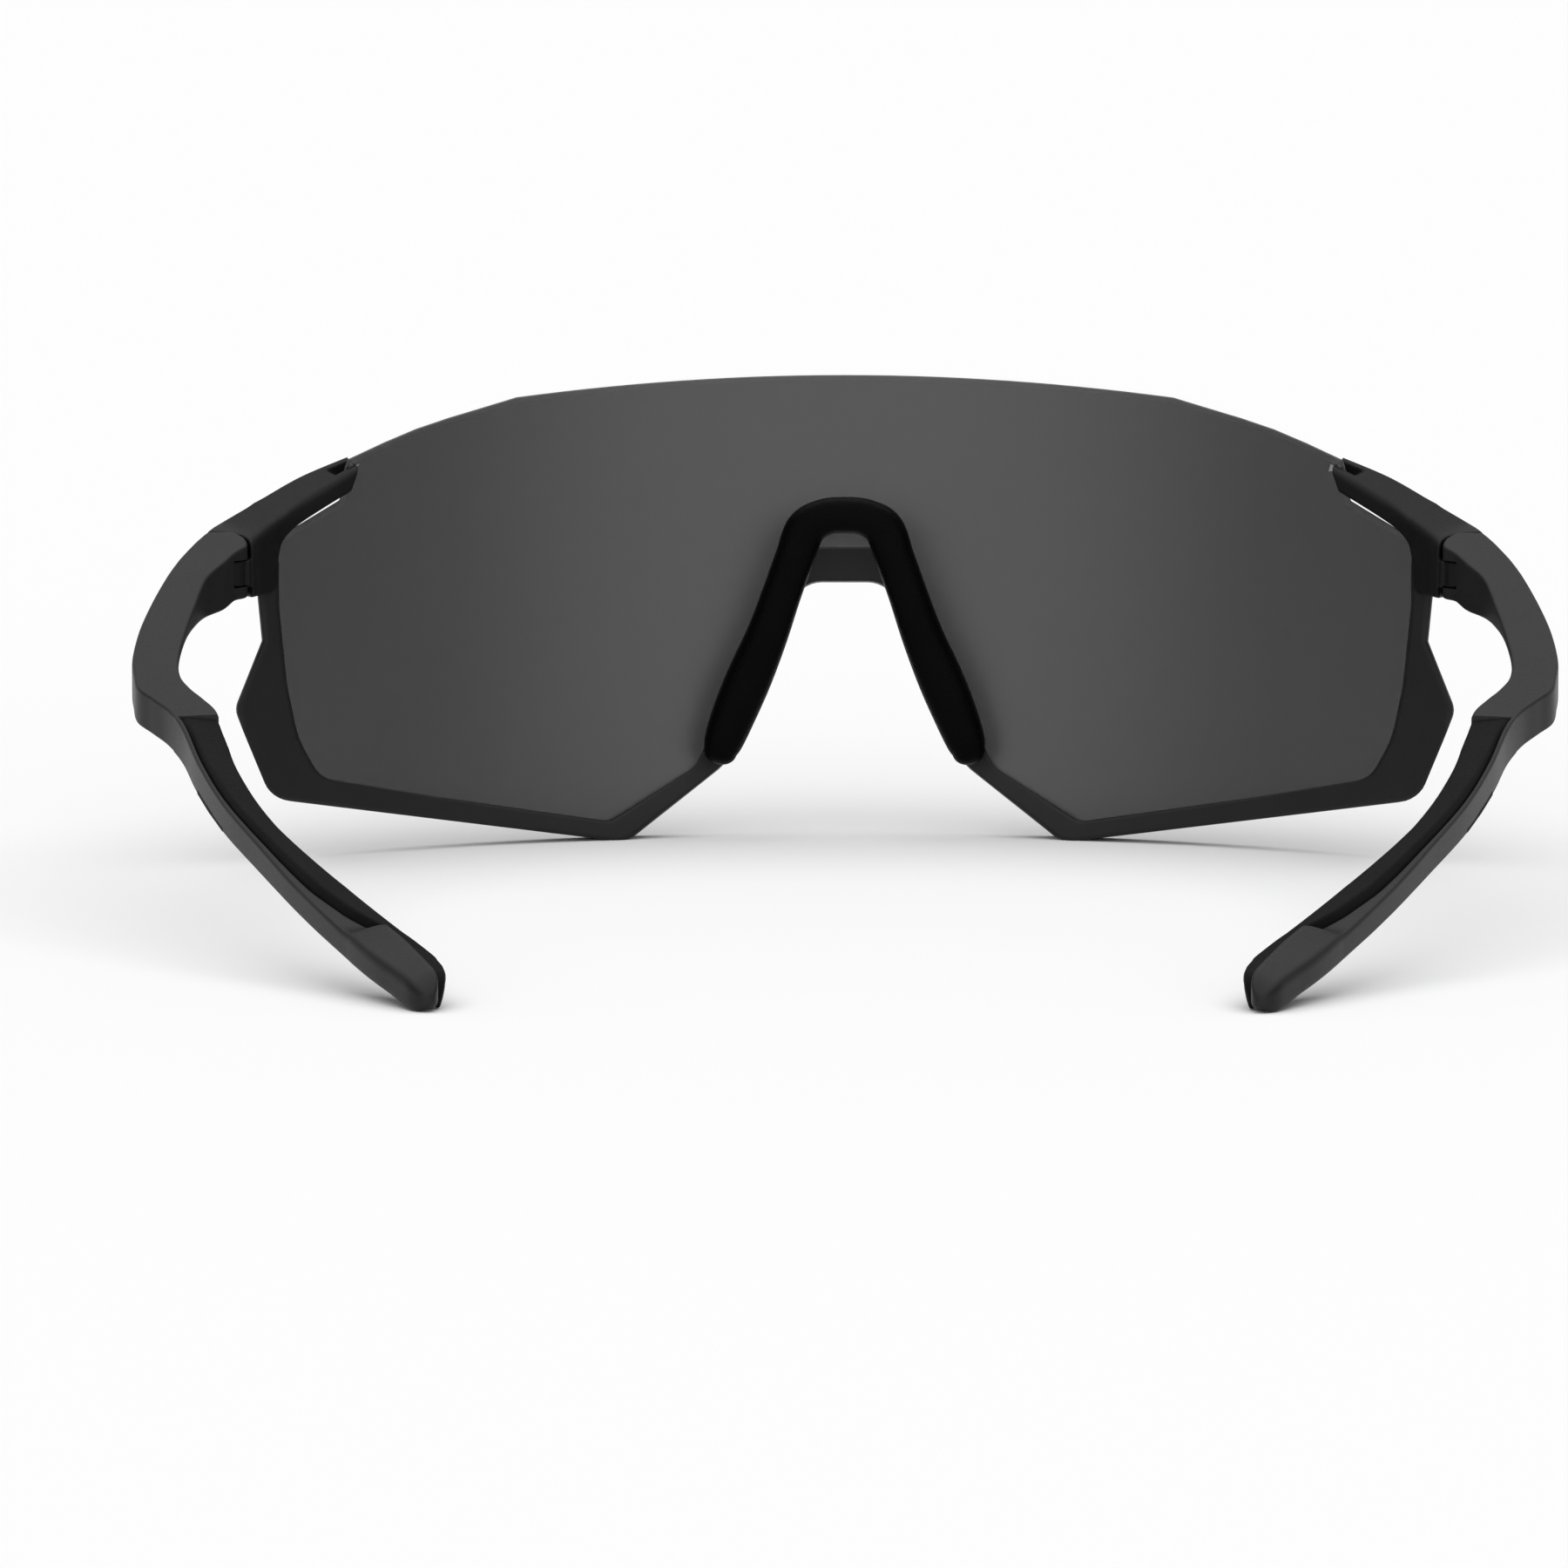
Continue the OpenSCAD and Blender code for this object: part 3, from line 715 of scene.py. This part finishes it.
def shell_ring(row):
    d, x0, x1 = row[0], row[1], parting_x(row)
    y, z, full, cap = PIN_Y - d, top_z(d), front_share(d), cap_share(d)
    drop = lookup(EDGE_DROP, d)
    h0 = row[3]
    h1 = full * row[4] + (1 - full) * (h0 - 0.3)
    inner_drop = (1 - cap) * max(drop - 0.15, 0)
    seam = SEAM_BEVEL * clamp((SEAM_BEVEL_END - d) / SEAM_BEVEL_LENGTH) ** 2
    corners = [(x0, y, z - drop - seam), (x1, y, z - inner_drop - seam),
               (x1, y, z - h1), (x0, y, z - h0)]
    width = x1 - x0
    fuller = clamp((d - FULLER_START) / (FULLER_END - FULLER_START))
    outer = min(0.4, 0.42 * width) + 0.5 * fuller
    inner = min(0.4, 0.4 * width) + 0.5 * cap
    below = min(0.5, 0.4 * width) + 0.9 * fuller
    return turned(soft_ring(corners, (outer, inner, below, outer), 8), row)


def grip_ring(row):
    x0, h = parting_x(row) + 0.02, row[4]
    y, z, w = PIN_Y - row[0], top_z(row[0]), row[2] - x0
    drop = lookup(EDGE_DROP, row[0])
    low = min(drop + 0.35, 0.5 * h)
    bulge = lookup(GRIP_BULGE, row[0])
    edge_z = z - lookup(INNER_DROP, row[0])
    wide = max(w + bulge, 0.3)
    crown_z = z - 0.25 * drop - 0.1 - 0.5 * cap_share(row[0])
    corners = [(x0, y, z - low), (x0 + 0.14 * wide, y, crown_z), (x0 + 0.95 * wide, y, edge_z),
               (x0 + wide, y, z - 0.45 * h), (x0 + 0.8 * wide, y, z - 0.75 * h),
               (x0 + 0.5 * wide, y, z - h), (x0, y, z - 0.95 * h)]
    return turned(soft_ring(corners, (0.25, 0.5, 0.5, 1.0, 1.0, 0.8, 0.5), 5), row)


def temple_stations(steps=8):
    rows = blend_rows(TEMPLE_ROWS, steps)
    table = np.array(rows)
    for d in (GRIP_START, GRIP_START + GRIP_STEP, CAP_START, (CAP_START + CAP_END) / 2, CAP_END):
        extra = [np.interp(d, table[:, 0], table[:, k]) for k in range(table.shape[1])]
        rows = [r for r in rows if abs(r[0] - d) > 0.15] + [np.array(extra)]
    return sorted([r for r in rows if r[0] <= DOME_START], key=lambda r: r[0])


def domed(rings, reach):
    """The rings, and a dome over the last one that rises by the vector reach."""
    last = np.array(rings[-1])
    hub = last.mean(axis=0)
    for k in range(1, DOME_RINGS + 1):
        t = math.radians(88 * k / DOME_RINGS)
        rings.append([tuple(hub + (p - hub) * math.cos(t) + reach * math.sin(t)) for p in last])
    return rings


def temple_shell(name):
    obj = loft(name, domed([shell_ring(r) for r in temple_stations()], TIP_RUN * DOME_LENGTH))
    low, high = LOWER_LEAF_TOP, UPPER_LEAF_BOTTOM
    combine(obj, prism("slot", disc(-PIN_X, PIN_Y, SLOT_R), low, high), "DIFFERENCE")
    combine(obj, block("slot_side", 0, 6, -SLOT_R, 6, low, high), "DIFFERENCE")
    head = prism("head_hole", disc(-PIN_X, PIN_Y, SCREW_HEAD_R), HEAD_SEAT - 2, HEAD_SEAT)
    combine(obj, head, "DIFFERENCE")
    return crisp(obj, 40)


def temple_grip(name):
    rings = [grip_ring(r) for r in temple_stations() if r[0] >= GRIP_START + GRIP_STEP]
    return loft(name, domed(rings, GRIP_TIP))


# ---------------------------------------------------------------- nose piece
PAD_ROWS = [
    (-14.8, 67.6, 9.6, 3, 3.4), (-14.3, 67.5, 11.4, 4.5, 4.6), (-12.85, 67.2, 15.2, 5.2, 5),
    (-11.1, 66.8, 19.4, 5.35, 5), (-9.1, 66.4, 24.2, 4.9, 4.8), (-7.35, 66.1, 29.2, 4.6, 4.5),
    (-5.85, 65.9, 33.4, 4.6, 4.2), (-4.6, 65.8, 36.7, 4.7, 4), (-2.5, 65.7, 38.1, 4.3, 4),
    (0, 65.7, 38.4, 4.2, 4)]
PAD_ROUNDNESS = 0.75
PAD_POINTS = 36
# The legs' lower ends are domes that begin at this height
PAD_END_Z = 11.0
PAD_DOME = 1.6


def nose_pad():
    whole = PAD_ROWS + [(-x, y, z, w, d) for x, y, z, w, d in reversed(PAD_ROWS[:-1])]
    rows = blend_rows(whole, 8)
    rings = []
    for k, row in enumerate(rows):
        a, b = rows[max(0, k - 1)], rows[min(len(rows) - 1, k + 1)]
        run = np.array([b[0] - a[0], b[2] - a[2]])
        across = np.array([-run[1], run[0]]) / np.linalg.norm(run)
        ring = []
        for i in range(PAD_POINTS):
            t = 2 * math.pi * i / PAD_POINTS
            p = math.copysign(abs(math.cos(t)) ** PAD_ROUNDNESS, math.cos(t)) * row[3] / 2
            q = math.copysign(abs(math.sin(t)) ** PAD_ROUNDNESS, math.sin(t)) * row[4] / 2
            ring.append((row[0] + across[0] * p, row[1] + q, row[2] + across[1] * p))
        rings.append(ring)
    for _ in range(2):
        while rings[-1][0][2] < PAD_END_Z:
            rings.pop()
        last, before = np.mean(rings[-1], axis=0), np.mean(rings[-2], axis=0)
        run = (last - before) / np.linalg.norm(last - before)
        rings = domed(rings, run * PAD_DOME)[::-1]
    obj = loft("nose_bridge_pad", rings)
    return dress(obj, NOSE_MATERIAL, "nose_rubber", "front", "nose_pad")


# ------------------------------------------------------------------ assembly
lens()
rim()
nose_pad()

for make, material, slot, node, body in (
        (endpiece, ENDPIECE_MATERIAL, "endpiece", "endpiece", "front"),
        (temple_shell, TEMPLE_MATERIAL, "temple", "temple", "arm"),
        (temple_grip, GRIP_MATERIAL, "grip_rubber", "temple_grip", "arm")):
    left = make("left_" + node + "_skin")
    right = mirrored(left, "right_" + node + "_skin")
    for side, obj in (("left", left), ("right", right)):
        rides_on = body if body == "front" else side + "_" + body
        dress(obj, material, slot, rides_on, side + "_" + node)

CAD_FINISHES = {
    "nose_pad_core": (STEEL_MATERIAL, "wire"), "nose_clip": (CLIP_MATERIAL, "clip"),
    "outer_grip": (GRIP_MATERIAL, "grip_rubber"), "hinge_screw": (STEEL_MATERIAL, "screw"),
    "hinge_insert": (BRASS_MATERIAL, "insert")}
for node, obj in frame["nodes"].items():
    for ending, (material, slot) in CAD_FINISHES.items():
        if node.endswith(ending):
            obj.data.materials.clear()
            obj.data.materials.append(material)

# ---------------------------------------------------------- floor and light
FLOOR_HALF = 30.0


def floor():
    mesh = bpy.data.meshes.new("floor")
    h = FLOOR_HALF
    mesh.from_pydata([(-h, -h, 0), (h, -h, 0), (h, h, 0), (-h, h, 0)], [], [(0, 1, 2, 3)])
    obj = bpy.data.objects.new("floor", mesh)
    bpy.context.scene.collection.objects.link(obj)
    mat, nodes, links, shader = new_material("pale_floor")
    shader.inputs["Base Color"].default_value = (0.88, 0.88, 0.88, 1)
    shader.inputs["Roughness"].default_value = 0.9
    shader.inputs["Specular IOR Level"].default_value = 0.0
    mesh.materials.append(mat)


class Factors:
    """Small sums of one shader tree, each giving back a socket."""

    def __init__(self, tree):
        self.nodes, self.links = tree.nodes, tree.links

    def math(self, operation, *values):
        node = self.nodes.new("ShaderNodeMath")
        node.operation = operation
        for socket, value in zip(node.inputs, values):
            if isinstance(value, (int, float)):
                socket.default_value = value
            else:
                self.links.new(value, socket)
        return node.outputs[0]

    def rise(self, value, start, end):
        """0 below start, 1 above end, and a soft step in between."""
        node = self.nodes.new("ShaderNodeMapRange")
        node.interpolation_type = "SMOOTHSTEP"
        node.inputs["From Min"].default_value = start
        node.inputs["From Max"].default_value = end
        self.links.new(value, node.inputs["Value"])
        return node.outputs["Result"]


SKY_BASE = 0.24
GLOW_BEHIND = 1.3
GLOW_AHEAD = 0.8
OVERHEAD_STRENGTH = 2.3
OVERHEAD_SPREAD = math.radians(95)


def sky():
    """An even dim sky, with a wide glow behind the wearer and a low one ahead."""
    world = bpy.data.worlds.new("studio")
    world.use_nodes = True
    f = Factors(world.node_tree)
    place = f.nodes.new("ShaderNodeTexCoord")
    split = f.nodes.new("ShaderNodeSeparateXYZ")
    f.links.new(place.outputs["Generated"], split.inputs[0])
    y, z = split.outputs["Y"], split.outputs["Z"]
    backward = f.math("MULTIPLY", y, -1.0)
    behind = f.rise(backward, math.cos(math.radians(66)), math.cos(math.radians(12)))
    behind = f.math("MULTIPLY", behind, f.math("SUBTRACT", 1.0, f.rise(z, 0.5, 0.9)))
    ahead = f.math("MULTIPLY", f.rise(y, 0.0, 0.7), f.math("SUBTRACT", 1.0, f.rise(z, 0.15, 0.5)))
    total = f.math("MULTIPLY_ADD", behind, GLOW_BEHIND, SKY_BASE)
    total = f.math("MULTIPLY_ADD", ahead, GLOW_AHEAD, total)
    background = f.nodes["Background"]
    background.inputs["Color"].default_value = (1, 1, 1, 1)
    f.links.new(total, background.inputs["Strength"])
    bpy.context.scene.world = world


def overhead(strength, spread):
    """A very wide soft light from straight above."""
    light = bpy.data.lights.new("overhead", "SUN")
    light.energy, light.angle = strength, spread
    obj = bpy.data.objects.new("overhead", light)
    bpy.context.scene.collection.objects.link(obj)


floor()
sky()
overhead(OVERHEAD_STRENGTH, OVERHEAD_SPREAD)

# ------------------------------------------------------------------- camera
CAMERA_BACK = 0.8224
CAMERA_UP = 0.10308
CAMERA_DOWN_DEG = 6.187
CAMERA_TURN_DEG = 0.458
camera_data = bpy.data.cameras.new("camera")
camera_data.lens = 175
camera_data.sensor_width = 36
camera_data.clip_start = 0.01
camera_data.clip_end = 200
camera = bpy.data.objects.new("camera", camera_data)
camera.location = (0, -CAMERA_BACK, CAMERA_UP)
camera.rotation_euler = (math.radians(90 - CAMERA_DOWN_DEG), 0, math.radians(CAMERA_TURN_DEG))
bpy.context.scene.collection.objects.link(camera)
bpy.context.scene.camera = camera
bpy.context.scene.view_settings.view_transform = "Standard"
